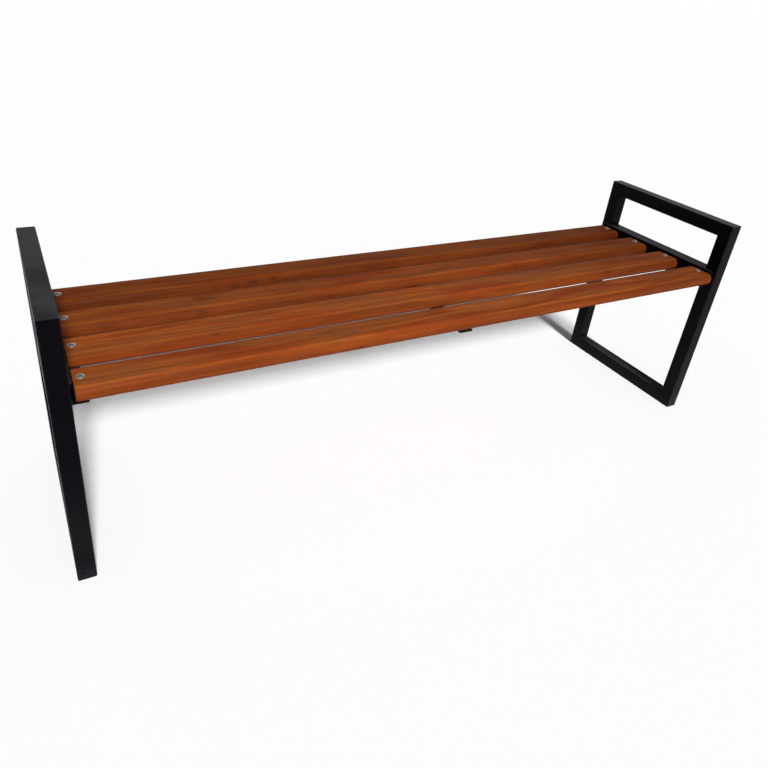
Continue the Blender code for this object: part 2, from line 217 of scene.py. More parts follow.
def skin(loops, closed=False, first=0):
    """Return the faces between loops of points, capped at both ends unless the loops close."""
    count = len(loops[0])
    rows = len(loops)
    faces = []
    for row in range(rows if closed else rows - 1):
        here = first + row * count
        there = first + (row + 1) % rows * count
        for i in range(count):
            j = (i + 1) % count
            faces.append((here + i, here + j, there + j, there + i))
    if not closed:
        faces.append([first + i for i in range(count)])
        faces.append([first + (rows - 1) * count + i for i in range(count)])
    return faces


def mesh_of_loops(name, loops, closed=False):
    """Return the mesh of one skinned row of loops."""
    points = [point for loop in loops for point in loop]
    return finish_mesh(name, points, skin(loops, closed))


def mesh_of_rows(name, rows):
    """Return one mesh of several skinned and capped rows of loops."""
    points = []
    faces = []
    for loops in rows:
        faces += skin(loops, first=len(points))
        points += [point for loop in loops for point in loop]
    return finish_mesh(name, points, faces)


def moved(loops, matrix):
    """Return the loops in another place."""
    return [[matrix @ point for point in loop] for loop in loops]


def rounded_rectangle(width, height, radius, arc_steps, flat_stops):
    """Return the outline of a rectangle with round corners; flat_stops are shares along each flat."""
    corners = ((1, 1), (-1, 1), (-1, -1), (1, -1))
    arcs = []
    for turn, (side_x, side_y) in enumerate(corners):
        centre = Vector((side_x * (width / 2 - radius), side_y * (height / 2 - radius)))
        angles = [(turn + step / arc_steps) * QUARTER_TURN for step in range(arc_steps + 1)]
        arcs.append([centre + radius * Vector((math.cos(angle), math.sin(angle))) for angle in angles])
    outline = []
    for turn, points in enumerate(arcs):
        following = arcs[(turn + 1) % len(arcs)][0]
        outline += points
        outline += [points[-1].lerp(following, share) for share in flat_stops]
    return outline


def shaped_ring(radii, height):
    """Return a ring of points about Z with its own radius at each of the round angles."""
    points = []
    for radius, angle in zip(radii, ROUND_ANGLES):
        points.append(Vector((radius * math.cos(angle), radius * math.sin(angle), height)))
    return points


def ring(radius, height):
    """Return a round ring of points about Z."""
    return shaped_ring([radius] * len(ROUND_ANGLES), height)


def polygon_radii(sides, inner_radius):
    """Return how far a regular polygon reaches at each of the round angles; one side faces +X."""
    half = math.pi / sides
    return [inner_radius / math.cos((angle + half) % (2 * half) - half) for angle in ROUND_ANGLES]


def dome_rings(radius, height, top, steps):
    """Return the rings of a shallow dome, from its top on the axis to its rim."""
    sphere = (radius**2 + height**2) / (2 * height)
    spread = math.asin(radius / sphere)
    angles = [spread * step / steps for step in range(steps + 1)]
    return [ring(sphere * math.sin(angle), top - sphere * (1 - math.cos(angle))) for angle in angles]


# Objects and holes

def add_object(name, data):
    """Put a mesh, a lamp or a camera into the scene as an object."""
    thing = bpy.data.objects.new(name, data)
    bpy.context.scene.collection.objects.link(thing)
    return thing


def add_piece(name, mesh, material, slot, *nodes):
    """Show a mesh as a piece of the bench, in place of the CAD nodes that it stands for."""
    mesh.materials.clear()
    mesh.materials.append(material)
    piece = add_object(name, mesh)
    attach(piece, "root")
    if nodes:
        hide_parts(*nodes)


def cut_holes(mesh, cutter_meshes):
    """Return the mesh with holes cut by other meshes."""
    target = add_object(mesh.name, mesh)
    cutters = [add_object(cutter_mesh.name, cutter_mesh) for cutter_mesh in cutter_meshes]
    for cutter in cutters:
        modifier = target.modifiers.new(cutter.name, "BOOLEAN")
        modifier.object = cutter
        modifier.solver = "EXACT"
    bpy.context.view_layer.update()
    evaluated = target.evaluated_get(bpy.context.evaluated_depsgraph_get())
    result = bpy.data.meshes.new_from_object(evaluated)
    result.set_sharp_from_angle(angle=SHARP_ANGLE)
    for used in [target, *cutters]:
        bpy.data.objects.remove(used)
    return result


def cylinders(name, places, radius, low, high):
    """Return one mesh of upright cylinders, to cut holes with."""
    shape = [ring(radius, low), ring(radius, high)]
    return mesh_of_rows(name, [moved(shape, Matrix.Translation((x, y, 0.0))) for x, y in places])


def square_prisms(name, places, half, low, high):
    """Return one mesh of upright square prisms, to cut the pockets of the bolt necks with."""
    rows = []
    for x, y in places:
        square = [(x - half, y - half), (x + half, y - half), (x + half, y + half), (x - half, y + half)]
        rows.append([[Vector((*corner, height)) for corner in square] for height in (low, high)])
    return mesh_of_rows(name, rows)


def drilled(mesh, node, fasteners, shank_radius):
    """Return the mesh of a node with a hole through it for the shank of each fastener."""
    low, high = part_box(node)
    places = [centre_of(fastener).xy for fastener in fasteners]
    radius = shank_radius + HOLE_CLEARANCE
    holes = cylinders(node + "_holes", places, radius, low.z - CUT_OVERSHOOT, high.z + CUT_OVERSHOOT)
    return cut_holes(mesh, [holes])


# Materials

def rgb(red, green, blue):
    """Return a linear colour for a node socket."""
    return (red, green, blue, 1.0)


def even(lumps):
    """Return the same count of lumps along X, Y and Z."""
    return (lumps, lumps, lumps)


def fill_ramp(node, stops):
    """Give a colour ramp grey values at (position, value) stops."""
    elements = node.color_ramp.elements
    while len(elements) < len(stops):
        elements.new(1.0)
    for element, (position, value) in zip(elements, stops):
        element.position = position
        element.color = rgb(value, value, value)


# Sockets of a Mix node that mixes colours
MIX_SHARE = 0
MIX_FIRST = 6
MIX_SECOND = 7
MIX_RESULT = 2


class Surface:
    """A Principled material whose nodes are added and linked by short calls."""

    def __init__(self, name, constants):
        self.material = bpy.data.materials.new(name)
        self.material.use_nodes = True
        self.tree = self.material.node_tree
        self.shader = self.tree.nodes["Principled BSDF"]
        for socket, value in constants.items():
            self.shader.inputs[socket].default_value = value

    def feed(self, socket, value):
        """Link a socket to another node's output, or set its own value."""
        if isinstance(value, bpy.types.NodeSocket):
            self.tree.links.new(value, socket)
        else:
            socket.default_value = value

    def add(self, kind, inputs, **settings):
        """Add a node with its settings and inputs."""
        node = self.tree.nodes.new(kind)
        for name, value in settings.items():
            setattr(node, name, value)
        for key, value in inputs.items():
            self.feed(node.inputs[key], value)
        return node

    def place(self):
        """Return the place in the object, in metres."""
        return self.add("ShaderNodeTexCoord", {}).outputs["Object"]

    def parts(self, vector):
        """Return the X, Y and Z parts of a vector."""
        return self.add("ShaderNodeSeparateXYZ", {0: vector}).outputs

    def normal(self):
        """Return the X, Y and Z parts of the surface's direction."""
        return self.parts(self.add("ShaderNodeNewGeometry", {}).outputs["Normal"])

    def attribute(self, name):
        """Return a value that the mesh carries."""
        return self.add("ShaderNodeAttribute", {}, attribute_name=name).outputs["Fac"]

    def math(self, operation, first, second=0.0):
        """Return the result of an operation on one or two numbers."""
        return self.add("ShaderNodeMath", {0: first, 1: second}, operation=operation).outputs[0]

    def times(self, product, *factors):
        """Return the product of numbers."""
        for factor in factors:
            product = self.math("MULTIPLY", product, factor)
        return product

    def vector(self, operation, first, second):
        """Return the result of an operation on two vectors."""
        return self.add("ShaderNodeVectorMath", {0: first, 1: second}, operation=operation).outputs[0]

    def length(self, vector):
        """Return the length of a vector."""
        return self.add("ShaderNodeVectorMath", {0: vector}, operation="LENGTH").outputs["Value"]

    def distance(self, place, centre, shape, size):
        """Return the distance from a centre in units of a size, in a space stretched by a shape."""
        away = self.vector("SUBTRACT", place, centre)
        return self.length(self.vector("MULTIPLY", away, [stretch / size for stretch in shape]))

    def noise_node(self, place, lumps, detail):
        """Return a noise node with so many lumps per metre along X, Y and Z."""
        stretched = self.vector("MULTIPLY", place, lumps)
        return self.add("ShaderNodeTexNoise", {"Vector": stretched, "Scale": 1.0, "Detail": detail})

    def noise(self, place, lumps, detail):
        """Return noise as a number from 0 to 1."""
        return self.noise_node(place, lumps, detail).outputs[0]

    def drift(self, place, lumps, reach, detail):
        """Return a smooth random shift, at most half of reach each way."""
        colour = self.noise_node(place, lumps, detail).outputs[1]
        centred = self.vector("SUBTRACT", colour, (0.5, 0.5, 0.5))
        return self.vector("MULTIPLY", centred, reach)

    def carry(self, value, ranges):
        """Return a value carried smoothly over ranges of (from low, from high, to low, to high)."""
        low, high, to_low, to_high = ranges
        inputs = {"Value": value, "From Min": low, "From Max": high, "To Min": to_low, "To Max": to_high}
        return self.add("ShaderNodeMapRange", inputs, interpolation_type="SMOOTHSTEP").outputs[0]

    def ramp(self, share, stops):
        """Return a grey value that runs through (position, value) stops."""
        node = self.add("ShaderNodeValToRGB", {0: share})
        fill_ramp(node, stops)
        return node.outputs[0]

    def mix(self, share, first, second, blend="MIX"):
        """Return one colour laid over another."""
        inputs = {MIX_SHARE: share, MIX_FIRST: first, MIX_SECOND: second}
        return self.add("ShaderNodeMix", inputs, data_type="RGBA", blend_type=blend).outputs[MIX_RESULT]

    def bump(self, height, depth):
        """Tilt the surface by a height from 0 to 1 that stands for a depth in metres."""
        inputs = {"Height": height, "Distance": depth, "Strength": 1.0}
        self.feed(self.shader.inputs["Normal"], self.add("ShaderNodeBump", inputs).outputs[0])

    def finish(self, colour, roughness):
        """Link the colour and the roughness, and return the material."""
        self.feed(self.shader.inputs["Base Color"], colour)
        self.feed(self.shader.inputs["Roughness"], roughness)
        return self.material


# Stained softwood: its colours
EARLY_WOOD = rgb(0.310, 0.073, 0.0120)
LATE_WOOD = rgb(0.170, 0.031, 0.0065)
RED_STAIN = rgb(0.230, 0.038, 0.0080)
BROWN_STAIN = rgb(0.240, 0.068, 0.0165)
# The sides take a redder stain, made darker as painted shade that evens out the lamp's stronger light on the
# front faces
SIDE_STAIN_AND_SHADE = rgb(0.134, 0.0250, 0.0036)
KNOT_HEART = rgb(0.058, 0.0135, 0.0046)
KNOT_RIM = rgb(0.140, 0.025, 0.0045)
# A light line along the upper edges: partly wear, partly a painted highlight
WORN_EDGE_AND_HIGHLIGHT = rgb(0.285, 0.078, 0.0160)

# What each plank shows: a shade factor, painted shade that darkens the rear planks; a pith is (y, z) from the
# plank's middle; and a knot is (x, y, z, size, depth of colour) from there
PLANK_LOOKS = {
    1: {
        "painted_shade": 1.02,
        "pith": (0.012, -0.055),
        "knots": (
            (-0.340, 0.002, 0.016, 0.0090, 0.25),
            (-0.286, -0.039, -0.007, 0.0055, 0.90),
            (0.130, -0.037, 0.008, 0.0045, 0.45),
            (0.470, 0.016, 0.016, 0.0070, 0.30),
        ),
    },
    2: {
        "painted_shade": 1.02,
        "pith": (-0.020, 0.070),
        "knots": (
            (-0.562, -0.036, 0.010, 0.0060, 0.55),
            (0.020, 0.014, 0.016, 0.0065, 0.30),
            (0.560, -0.036, 0.008, 0.0070, 0.75),
        ),
    },
    3: {
        "painted_shade": 0.80,
        "pith": (0.030, -0.048),
        "knots": (
            (-0.545, 0.007, 0.016, 0.0150, 0.55),
            (-0.562, -0.040, 0.006, 0.0075, 0.70),
            (-0.760, -0.040, 0.005, 0.0100, 0.55),
            (0.330, -0.036, 0.009, 0.0060, 0.60),
        ),
    },
    4: {
        "painted_shade": 0.60,
        "pith": (-0.006, -0.080),
        "knots": (
            (-0.492, -0.041, 0.004, 0.0060, 0.55),
            (-0.447, -0.041, 0.002, 0.0080, 0.70),
            (-0.402, -0.040, 0.006, 0.0065, 0.85),
            (-0.349, -0.040, 0.007, 0.0055, 0.90),
            (-0.336, -0.041, 0.001, 0.0045, 0.60),
            (0.004, -0.040, 0.006, 0.0060, 0.65),
        ),
    },
}

# Growth rings, and the shift that gives each plank grain of its own
RING_WIDTH = 0.0065
YEAR_STOPS = ((0.0, 0.25), (0.12, 0.0), (0.60, 0.30), (0.88, 1.0), (1.0, 0.25))
SEED_STEP = Vector((7.31, 3.17, 5.73))

# Noises of the wood along X, Y and Z, and how far those that move the grain reach
PITH_WANDER_LUMPS = (0.9, 1.5, 1.5)
PITH_WANDER_REACH = (0.0, 0.070, 0.080)
RING_WAVER_LUMPS = (4.0, 26.0, 26.0)
RING_WAVER_REACH = (0.0, 0.007, 0.007)
GRAIN_CURL_LUMPS = (5.0, 16.0, 16.0)
GRAIN_CURL_REACH = (0.12, 0.022, 0.022)
KNOT_RAGGED_LUMPS = (70.0, 150.0, 150.0)
KNOT_RAGGED_REACH = (0.016, 0.006, 0.006)
KNOT_BREAK_LUMPS = (60.0, 210.0, 210.0)
BROWN_PATCH_LUMPS = (5.5, 26.0, 26.0)
RED_PATCH_LUMPS = (3.6, 34.0, 34.0)
STREAK_LUMPS = (2.2, 75.0, 75.0)
FIBRE_LUMPS = (14.0, 900.0, 900.0)
PORE_LUMPS = (60.0, 1700.0, 1700.0)

# Ranges that carry noises, directions and places of the wood to its looks
BROWN_PATCHES = (0.38, 0.62, 0.0, 1.0)
RED_PATCHES = (0.46, 0.66, 0.0, 0.9)
LATE_WOOD_SHARE = (0.30, 0.75, 0.18, 0.62)
SIDE_STAIN_AND_SHADE_SHARE = (0.68, 1.0, 0.80, 0.0)
EDGE_BEGIN = (0.80, 0.90, 0.0, 1.0)
EDGE_END = (0.93, 0.995, 1.0, 0.0)
EDGE_WEAR_AND_HIGHLIGHT = (0.30, 0.65, 0.45, 0.05)
END_GRAIN_SHARE = (0.35, 0.9, 0.0, 0.65)
STREAK_SHADE = (0.3, 0.7, 0.76, 1.16)
FIBRE_SHADE = (0.2, 0.8, 0.86, 1.1)
PORE_SHADE = (0.58, 0.72, 1.0, 0.72)
# Painted shade: darker where the wood faces down, and towards the right end
UNDERSIDE_SHADE = (-0.85, 0.0, 0.65, 1.0)
RIGHT_END_SHADE = (0.10, 0.90, 1.0, 0.67)
WOOD_ROUGHNESS = (0.2, 0.8, 0.44, 0.60)
FIBRE_ROUGHNESS = 0.10

# Knots: their shape, the wider one that the rings run round, and how far out rim and heart fade, in sizes
KNOT_SHAPE = (0.45, 1.0, 0.9)
KNOT_BEND_SHAPE = (0.16, 0.42, 0.42)
KNOT_BEND_SIZES = 1.6
KNOT_RIM_FADE = (0.5, 1.9)
KNOT_RIM_SHARE = 0.9
KNOT_HEART_FADE = (0.1, 1.2)
KNOT_BREAKS = (0.38, 0.62, 0.25, 1.0)

# Relief of the wood
WOOD_RELIEF = 0.00012
LATE_WOOD_HEIGHT = 0.5
FIBRE_HEIGHT = 0.5


def growth_rings(wood, place, seeded, ragged, look):
    """Return the share of late wood in rings round a pith line that wanders; they run round the knots."""
    bent = wood.vector("ADD", place, wood.drift(seeded, PITH_WANDER_LUMPS, PITH_WANDER_REACH, detail=1.0))
    bent = wood.vector("ADD", bent, wood.drift(seeded, RING_WAVER_LUMPS, RING_WAVER_REACH, detail=2.0))
    from_pith = wood.vector("SUBTRACT", bent, (0.0, *look["pith"]))
    distance = wood.length(wood.vector("MULTIPLY", from_pith, (0.0, 1.0, 1.0)))
    for x, y, z, size, _ in look["knots"]:
        away = wood.distance(ragged, (x, y, z), KNOT_BEND_SHAPE, size)
        lift = wood.carry(away, (0.0, 1.0, KNOT_BEND_SIZES * size, 0.0))
        distance = wood.math("ADD", distance, lift)
    year = wood.math("FRACT", wood.math("DIVIDE", distance, RING_WIDTH))
    return wood.ramp(year, YEAR_STOPS)


def lay_knots(wood, ragged, knots, colour):
    """Return the colour with dark, broken knots in it."""
    broken = wood.carry(wood.noise(ragged, KNOT_BREAK_LUMPS, detail=3.0), KNOT_BREAKS)
    for x, y, z, size, depth in knots:
        away = wood.distance(ragged, (x, y, z), KNOT_SHAPE, size)
        rim = wood.carry(away, (*KNOT_RIM_FADE, KNOT_RIM_SHARE * depth, 0.0))
        colour = wood.mix(wood.times(rim, broken), colour, KNOT_RIM)
        heart = wood.carry(away, (*KNOT_HEART_FADE, depth, 0.0))
        colour = wood.mix(wood.times(heart, broken), colour, KNOT_HEART)
    return colour


def stained_wood(number):
    """Return the stained and varnished softwood of one plank."""
    look = PLANK_LOOKS[number]
    wood = Surface("stained_wood_" + str(number), {"Specular IOR Level": 0.035})
    facing = wood.normal()
    place = wood.vector("SUBTRACT", wood.place(), centre_of("seat_plank_" + str(number)))
    seeded = wood.vector("ADD", place, SEED_STEP * number)
    curled = wood.vector("ADD", seeded, wood.drift(seeded, GRAIN_CURL_LUMPS, GRAIN_CURL_REACH, detail=2.0))
    ragged = wood.vector("ADD", place, wood.drift(place, KNOT_RAGGED_LUMPS, KNOT_RAGGED_REACH, detail=2.0))
    streaks = wood.noise(curled, STREAK_LUMPS, detail=3.0)
    fibres = wood.noise(seeded, FIBRE_LUMPS, detail=2.0)
    pores = wood.noise(seeded, PORE_LUMPS, detail=1.0)

    # Stain that took unevenly, over early and late wood
    brown = wood.noise(curled, BROWN_PATCH_LUMPS, detail=3.0)
    red = wood.noise(wood.vector("ADD", curled, SEED_STEP), RED_PATCH_LUMPS, detail=3.0)
    late = growth_rings(wood, place, seeded, ragged, look)
    colour = wood.mix(wood.carry(brown, BROWN_PATCHES), EARLY_WOOD, BROWN_STAIN)
    colour = wood.mix(wood.carry(red, RED_PATCHES), colour, RED_STAIN)
    colour = wood.mix(wood.times(late, wood.carry(streaks, LATE_WOOD_SHARE)), colour, LATE_WOOD)

    # Redder stain and painted shade on the sides, wear and a painted highlight along the upper edges, dark at
    # the knots and on the end grain
    side = wood.carry(wood.math("ABSOLUTE", facing["Z"]), SIDE_STAIN_AND_SHADE_SHARE)
    colour = wood.mix(side, colour, SIDE_STAIN_AND_SHADE)
    edge = wood.times(wood.carry(facing["Z"], EDGE_BEGIN), wood.carry(facing["Z"], EDGE_END))
    colour = wood.mix(wood.times(edge, wood.carry(streaks, EDGE_WEAR_AND_HIGHLIGHT)), colour, WORN_EDGE_AND_HIGHLIGHT)
    colour = lay_knots(wood, ragged, look["knots"], colour)
    end_grain = wood.carry(wood.math("ABSOLUTE", facing["X"]), END_GRAIN_SHARE)
    colour = wood.mix(end_grain, colour, KNOT_RIM)

    # Lighter and darker with the grain; painted shade darkens the rear planks, the undersides and the right
    # end
    shade = wood.times(
        wood.carry(streaks, STREAK_SHADE),
        look["painted_shade"],
        wood.carry(fibres, FIBRE_SHADE),
        wood.carry(pores, PORE_SHADE),
        wood.carry(facing["Z"], UNDERSIDE_SHADE),
        wood.carry(wood.parts(place)["X"], RIGHT_END_SHADE),
    )
    shade_colour = wood.add("ShaderNodeCombineColor", {0: shade, 1: shade, 2: shade}).outputs[0]
    colour = wood.mix(1.0, colour, shade_colour, "MULTIPLY")

    dry_fibres = wood.times(fibres, FIBRE_ROUGHNESS)
    roughness = wood.math("ADD", wood.carry(streaks, WOOD_ROUGHNESS), dry_fibres)
    grain = wood.math("ADD", wood.times(late, LATE_WOOD_HEIGHT), wood.times(fibres, FIBRE_HEIGHT))
    wood.bump(grain, WOOD_RELIEF)
    return wood.finish(colour, roughness)


# Black powder coat: its colours, its noises, and the ranges that carry them to its looks
COAT_BLACK = rgb(0.0010, 0.0005, 0.0015)
COAT_WORN = rgb(0.0060, 0.0055, 0.0065)
COAT_DUST_AND_SHEEN = rgb(0.047, 0.044, 0.049)
COAT_CLOUD_LUMPS = even(14.0)
COAT_SPECK_LUMPS = even(420.0)
COAT_PEEL_LUMPS = even(850.0)
COAT_WAVE_LUMPS = even(240.0)
COAT_RUB_LUMPS = even(170.0)
RUBBED_CORNERS = (0.35, 0.70, 0.0, 1.0)
DUST_CLOUDS = (0.3, 0.7, 0.5, 1.0)
DUST_SPECKS = (0.25, 0.75, 0.5, 1.0)
DUST_AND_SHEEN_ON_TOP = (0.75, 1.0, 0.0, 1.0)
SPLASHES_LOW_DOWN = (0.0, 0.36, 0.09, 0.0)
SCUFFS_LOW_DOWN = (0.0, 0.05, 0.45, 0.0)
SCUFF_SPECKS = (0.45, 0.75, 0.0, 1.0)
COAT_ROUGHNESS = (0.25, 0.75, 0.30, 0.42)
WORN_ROUGHNESS = 0.12
COAT_RELIEF = 0.00006
DRESSED_WELD_HEIGHT = 1.5


def powder_coat():
    """Return the black powder coat: orange peel, worn corners, dust on top that is also a painted sheen, and
    scuffs near the floor.
    """
    coat = Surface("black_powder_coat", {"Specular IOR Level": 0.04})
    place = coat.place()
    height = coat.parts(place)["Z"]
    clouds = coat.noise(place, COAT_CLOUD_LUMPS, detail=3.0)
    specks = coat.noise(place, COAT_SPECK_LUMPS, detail=2.0)

    rubbed = coat.carry(coat.noise(place, COAT_RUB_LUMPS, detail=3.0), RUBBED_CORNERS)
    wear = coat.times(coat.attribute("edge"), rubbed)
    colour = coat.mix(wear, COAT_BLACK, COAT_WORN)
    thick = coat.carry(clouds, DUST_CLOUDS)
    # The dust on the top faces is also a painted sheen
    on_top = coat.carry(coat.normal()["Z"], DUST_AND_SHEEN_ON_TOP)
    dust_and_sheen = coat.times(on_top, thick, coat.carry(specks, DUST_SPECKS))
    colour = coat.mix(dust_and_sheen, colour, COAT_DUST_AND_SHEEN)
    splashed = coat.times(coat.carry(height, SPLASHES_LOW_DOWN), thick)
    scuffed = coat.times(coat.carry(height, SCUFFS_LOW_DOWN), coat.carry(specks, SCUFF_SPECKS))
    colour = coat.mix(coat.math("ADD", splashed, scuffed), colour, COAT_DUST_AND_SHEEN)

    roughness = coat.math("ADD", coat.carry(clouds, COAT_ROUGHNESS), coat.times(wear, WORN_ROUGHNESS))
    peel = coat.noise(place, COAT_PEEL_LUMPS, detail=2.0)
    waves = coat.noise(place, COAT_WAVE_LUMPS, detail=1.0)
    dressed = coat.times(coat.attribute("weld"), coat.times(waves, DRESSED_WELD_HEIGHT))
    coat.bump(coat.math("ADD", peel, dressed), COAT_RELIEF)
    return coat.finish(colour, roughness)


# Zinc plating: its colours, its noises, and the ranges that carry them to its looks
ZINC_BRIGHT = rgb(0.82, 0.81, 0.78)
ZINC_DULL = rgb(0.58, 0.56, 0.52)
ZINC_CLOUD_LUMPS = even(210.0)
ZINC_GRIT_LUMPS = even(2600.0)
DULL_CLOUDS = (0.35, 0.70, 0.0, 1.0)
ZINC_ROUGHNESS = (0.3, 0.7, 0.22, 0.34)
GRIT_ROUGHNESS = 0.08
ZINC_RELIEF = 0.00002


def zinc_plate():
    """Return bright zinc plating, clouded and finely scratched."""
    zinc = Surface("zinc_plate", {"Metallic": 0.93})
    place = zinc.place()
    clouds = zinc.noise(place, ZINC_CLOUD_LUMPS, detail=3.0)
    grit = zinc.noise(place, ZINC_GRIT_LUMPS, detail=2.0)
    colour = zinc.mix(zinc.carry(clouds, DULL_CLOUDS), ZINC_BRIGHT, ZINC_DULL)
    roughness = zinc.math("ADD", zinc.carry(clouds, ZINC_ROUGHNESS), zinc.times(grit, GRIT_ROUGHNESS))
    zinc.bump(grit, ZINC_RELIEF)
    return zinc.finish(colour, roughness)


# Planks

def plank_stations(half, bolts_x):
    """Return (x, inset) along a plank: fine steps at the eased ends and round the bolts."""
    straight = half - PLANK_END_EASE
    count = round(2 * straight / PLANK_STEP)
    places = {round(-straight + 2 * straight * step / count, STATION_DIGITS) for step in range(count + 1)}
    fine = round(2 * BOLT_FINE_REACH / BOLT_FINE_STEP)
    for bolt_x in bolts_x:
        places = {x for x in places if abs(x - bolt_x) > BOLT_FINE_REACH + BOLT_FINE_STEP / 2}
        start = bolt_x - BOLT_FINE_REACH
        places |= {round(start + BOLT_FINE_STEP * step, STATION_DIGITS) for step in range(fine + 1)}
    body = [(x, 0.0) for x in sorted(places) if abs(x) <= straight]
    right_end = []
    for step in range(1, PLANK_END_STEPS + 1):
        angle = QUARTER_TURN * step / PLANK_END_STEPS
        inset = PLANK_END_EASE * (1 - math.cos(angle))
        right_end.append((straight + PLANK_END_EASE * math.sin(angle), inset))
    left_end = [(-x, inset) for x, inset in reversed(right_end)]
    return left_end + body + right_end


def finish_by_hand(point, size, seed, bolts_x, knots):
    """Move a point of a plank a little: bow, plane marks, proud knots and the dishes under the bolt heads."""
    x, y, z = point
    core_y = max(-size.y / 2 + PLANK_ROUNDING, min(size.y / 2 - PLANK_ROUNDING, y))
    core_z = max(-size.z / 2 + PLANK_ROUNDING, min(size.z / 2 - PLANK_ROUNDING, z))
    outward = Vector((0.0, y - core_y, z - core_z)).normalized()
    slack = 1 - (2 * x / size.x) ** 2
    bow_y = noise.noise(Vector((BOW_LUMPS_Y * x, seed, 0.0)))
    bow_z = noise.noise(Vector((BOW_LUMPS_Z * x, seed, BOW_SEED_Z)))
    across_y = UNDULATION_LUMPS_ACROSS * y + seed
    across_z = UNDULATION_LUMPS_ACROSS * z
    swell = noise.noise(Vector((UNDULATION_LUMPS_ALONG * x, across_y, across_z)))
    rise = PLANK_UNDULATION * (swell - 1) / 2
    for knot_x, knot_y, knot_z, knot_size, depth in knots:
        away = Vector((x - knot_x, y - knot_y, z - knot_z)).length / (KNOT_RISE_SIZES * knot_size)
        rise += KNOT_RISE * depth * math.exp(-away * away) * math.cos(2 * away)
    if z > 0:
        for bolt_x in bolts_x:
            away = math.hypot(x - bolt_x, y) / BOLT_DISH_RADIUS
            rise -= BOLT_DISH_DEPTH * max(0.0, 1 - away**4)
    return point + rise * outward + slack * PLANK_BOW * Vector((0.0, bow_y, bow_z))


def plank_cutters(number, bolts_x):
    """Return the meshes that cut a plank's bolt holes, its screw hole and the pockets of the bolt necks."""
    node = "seat_plank_" + str(number)
    middle = centre_of(node)
    size = size_of(node)
    low = middle.z - size.z
    high = middle.z + size.z
    bolt_places = [(x, middle.y) for x in bolts_x]
    bolt_radius = BOLT_SHANK_RADIUS + HOLE_CLEARANCE
    screw_radius = SCREW_SHANK_RADIUS + HOLE_CLEARANCE
    screw_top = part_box("brace_screw_" + str(number))[1].z + HOLE_CLEARANCE
    half_pocket = BOLT_NECK / 2 + HOLE_CLEARANCE
    pocket_low = middle.z + size.z / 2 - BOLT_NECK_DEPTH - HOLE_CLEARANCE
    return [
        cylinders(node + "_holes", bolt_places, bolt_radius, low, high),
        cylinders(node + "_pilot", [middle.xy], screw_radius, low, screw_top),
        square_prisms(node + "_pockets", bolt_places, half_pocket, pocket_low, high),
    ]


def add_plank(number):
    """Show one plank with bullnose edges, eased ends and its bolt and screw holes."""
    node = "seat_plank_" + str(number)
    size = size_of(node)
    bolts_x = [centre_of(side + "_bolt_" + str(number)).x for side, _ in SIDES]
    knots = PLANK_LOOKS[number]["knots"]
    loops = []
    for x, inset in plank_stations(size.x / 2, bolts_x):
        width = size.y - 2 * inset
        height = size.z - 2 * inset
        outline = rounded_rectangle(width, height, PLANK_ROUNDING - inset, PLANK_ARC_STEPS, PLANK_FLAT_STOPS)
        points = [Vector((x, y, z)) for y, z in outline]
        loops.append([finish_by_hand(point, size, float(number), bolts_x, knots) for point in points])
    mesh = mesh_of_loops(node + "_shape", moved(loops, Matrix.Translation(centre_of(node))))
    mesh = cut_holes(mesh, plank_cutters(number, bolts_x))
    add_piece("stained_plank_" + str(number), mesh, stained_wood(number), "planks", node)


# End frames

def tube_loops(length, mitred):
    """Return the loops of a hollow tube along Z, whose -X side is the outside of the frame."""
    outer = rounded_rectangle(TUBE, TUBE, TUBE_CORNER, TUBE_ARC_STEPS, TUBE_FLAT_STOPS)
    bore = TUBE - 2 * TUBE_WALL
    inner = rounded_rectangle(bore, bore, TUBE_CORNER - TUBE_WALL, TUBE_ARC_STEPS, TUBE_FLAT_STOPS)

    def end_loop(outline, end, inset):
        reach = length / 2 - inset
        slope = 1 if mitred else 0
        return [Vector((x, y, end * (reach - slope * (x + TUBE / 2)))) for x, y in outline]

    return [
        end_loop(outer, -1, 0.0),
        end_loop(outer, -1, DRESSED_WELD_REACH),
        end_loop(outer, 1, DRESSED_WELD_REACH),
        end_loop(outer, 1, 0.0),
        end_loop(inner, 1, 0.0),
        end_loop(inner, -1, 0.0),
    ]


def mark_tube(mesh):
    """Give a tube's mesh the values that its coat wears by: corners of the section, and dressed ends."""
    corner = [math.sin(math.pi * step / TUBE_ARC_STEPS) for step in range(TUBE_ARC_STEPS + 1)]
    flat = [0.0] * len(TUBE_FLAT_STOPS)
    corners = (corner + flat) * 4
    plain = [0.0] * len(corners)
    dressed = [1.0] * len(corners)

    # One run of values for each loop of the tube, four outside and two inside
    edge = corners * 4 + plain * 2
    weld = dressed + plain * 2 + dressed * 3
    for name, values in (("edge", edge), ("weld", weld)):
        attribute = mesh.attributes.new(name, "FLOAT", "POINT")
        attribute.data.foreach_set("value", values)


